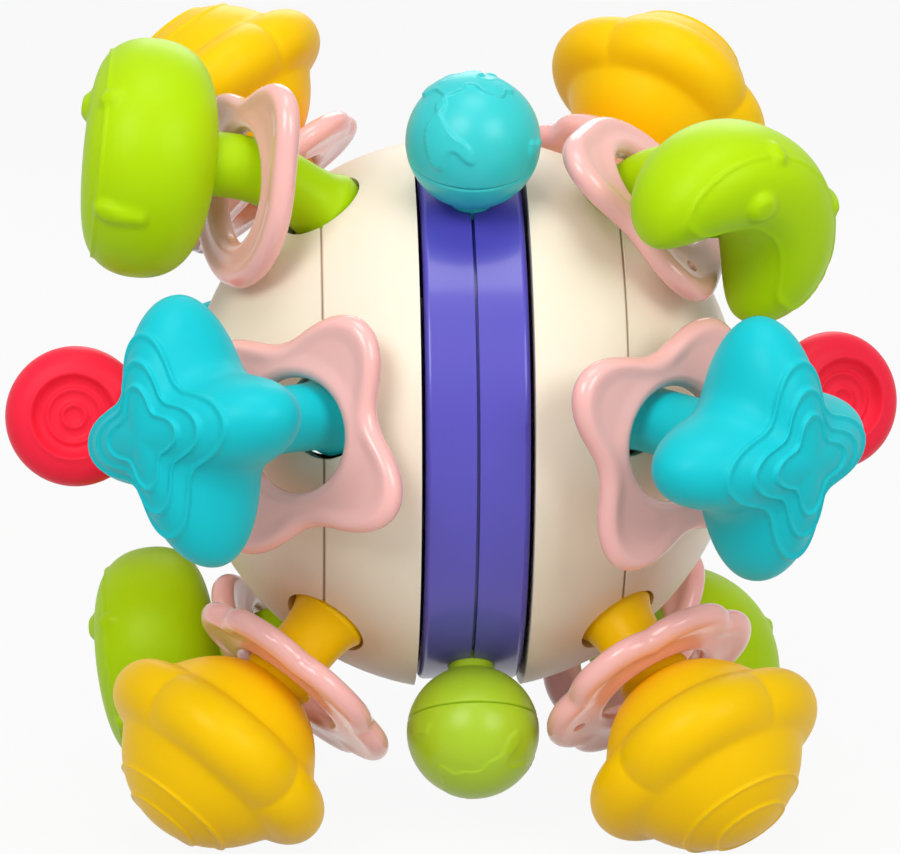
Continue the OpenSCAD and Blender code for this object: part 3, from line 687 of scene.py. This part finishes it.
# base: the lower cap from the seam to the neck, then the neck and its flange, turned about the bead's axis
def beadBase(spot):
    turn = np.linspace(0, 2 * np.pi, 144, endpoint=False)
    down = np.linspace(np.degrees(np.arccos(-bead["seam"] / bead["radius"])) + 0.25, 159.0, 60)
    lip = bead["lip"] * (1 - smooth(100.5, 102.6, down)) ** 2
    r = (bead["radius"] - lip) * np.sin(np.radians(down))
    z = (bead["radius"] - lip) * np.cos(np.radians(down))
    neck, flange, bevel = bead["neck"], bead["flange"], bead["bevel"]
    seat = -bead["neckRun"]
    end = seat - bead["flangeThick"]
    r = np.concatenate([r, [neck, neck, flange, flange, flange - bevel]])[:, None]
    z = np.concatenate([z, [-bead["neckTop"], seat, seat, end, end - bevel]])[:, None]
    grid = np.stack([r * np.cos(turn), r * np.sin(turn), z + 0 * turn], -1)
    return placeBead(spot, grid[::-1])


for name, spot in beads.items():
    mat = finishes[spot["finish"]]
    makePiece(name + "_globe", [skin(beadDome(spot))], mat, name, [name + "_dome"])
    makePiece(name + "_seat", [skin(beadBase(spot))], mat, name, [name + "_base"])
print("beads made:", len(beads))

# rigid pieces
rigid = {"left_band": "shell", "left_cap": "shell", "right_band": "shell", "right_cap": "shell",
         "hub_screws": "screw", "track_left": "track", "track_right": "track"}
for name, kind in rigid.items():
    mats = nodes[name].data.materials
    mats.clear()
    mats.append(finishes[kind])
print("rigid pieces dressed:", len(rigid))

# camera, floor and light

# seen directly or in a reflection, the floor and the world are white; they light the pieces at a plain level
def whiteWhereSeen(tree, plain, shown, share, output):
    path = tree.nodes.new("ShaderNodeLightPath")
    seen = path.outputs["Is Camera Ray"]
    for ray in ("Is Glossy Ray", "Is Transmission Ray"):
        either = tree.nodes.new("ShaderNodeMath")
        either.operation = "MAXIMUM"
        tree.links.new(seen, either.inputs[0])
        tree.links.new(path.outputs[ray], either.inputs[1])
        seen = either.outputs[0]
    part = tree.nodes.new("ShaderNodeMath")
    part.operation = "MULTIPLY"
    part.inputs[1].default_value = share
    tree.links.new(seen, part.inputs[0])
    blend = tree.nodes.new("ShaderNodeMixShader")
    tree.links.new(part.outputs[0], blend.inputs["Fac"])
    tree.links.new(plain.outputs[0], blend.inputs[1])
    tree.links.new(shown.outputs[0], blend.inputs[2])
    tree.links.new(blend.outputs[0], output.inputs["Surface"])


shot = dict(azimuth=-3.0, elevation=9.0, distance=0.6, aim=(0.0, 0.0, 0.0606), lens=154.1,
            shift=(-14 / 900, -14 / 900))
az, el = np.radians(shot["azimuth"]), np.radians(shot["elevation"])
away = np.array([np.sin(az) * np.cos(el), -np.cos(az) * np.cos(el), np.sin(el)])
cameraData = bpy.data.cameras.new("photoCamera")
cameraData.lens = shot["lens"]
cameraData.sensor_width = 36.0
cameraData.shift_x, cameraData.shift_y = shot["shift"]
cameraData.clip_start = 0.01
camera = bpy.data.objects.new("photoCamera", cameraData)
bpy.context.scene.collection.objects.link(camera)
camera.location = tuple(np.array(shot["aim"]) + away * shot["distance"])
camera.rotation_euler = (np.pi / 2 - el, 0.0, az)
bpy.context.scene.camera = camera

floorMesh = bpy.data.meshes.new("floor")
floorMesh.from_pydata([(-4, -4, 0), (4, -4, 0), (4, 4, 0), (-4, 4, 0)], [], [(0, 1, 2, 3)])
floor = bpy.data.objects.new("floor", floorMesh)
bpy.context.scene.collection.objects.link(floor)
floorMat = bpy.data.materials.new("paleFloor")
floorMat.use_nodes = True
floorTree = floorMat.node_tree
floorPlain = floorTree.nodes["Principled BSDF"]
floorPlain.inputs["Base Color"].default_value = (0.54, 0.54, 0.53, 1)
floorPlain.inputs["Roughness"].default_value = 0.9
floorPlain.inputs["Specular IOR Level"].default_value = 0.0
floorShown = floorTree.nodes.new("ShaderNodeEmission")
whiteWhereSeen(floorTree, floorPlain, floorShown, 0.93, floorTree.nodes["Material Output"])
floorMesh.materials.append(floorMat)

world = bpy.data.worlds.new("studio")
bpy.context.scene.world = world
world.use_nodes = True
worldTree = world.node_tree
worldPlain = worldTree.nodes["Background"]
worldPlain.inputs["Color"].default_value = (1, 1, 1, 1)
worldPlain.inputs["Strength"].default_value = 0.33
worldShown = worldTree.nodes.new("ShaderNodeBackground")
worldShown.inputs["Strength"].default_value = 1.0
whiteWhereSeen(worldTree, worldPlain, worldShown, 1.0, worldTree.nodes["World Output"])

# soft boxes: place, size and power, all aimed at the middle of the ball
lampAim = np.array([0, 0, 0.06])
lamps = {
    "keyBox": dict(at=(-0.40, -0.76, 0.64), size=0.45, power=4.55),
    "fillBox": dict(at=(0.52, -0.78, 0.52), size=0.45, power=3.5),
    "topBox": dict(at=(0.0, -0.25, 0.93), size=0.42, power=2.25),
    "backBox": dict(at=(0.1, 0.86, 0.66), size=0.5, power=2.0),
}
for label, lamp in lamps.items():
    data = bpy.data.lights.new(label, "AREA")
    data.size = lamp["size"]
    data.energy = lamp["power"]
    obj = bpy.data.objects.new(label, data)
    bpy.context.scene.collection.objects.link(obj)
    obj.location = lamp["at"]
    d = lampAim - np.array(lamp["at"])
    d = d / np.linalg.norm(d)
    obj.rotation_euler = (np.arccos(-d[2]), 0.0, np.arctan2(-d[0], d[1]))
bpy.context.scene.view_settings.view_transform = "Standard"
print("camera, floor and lamps set")
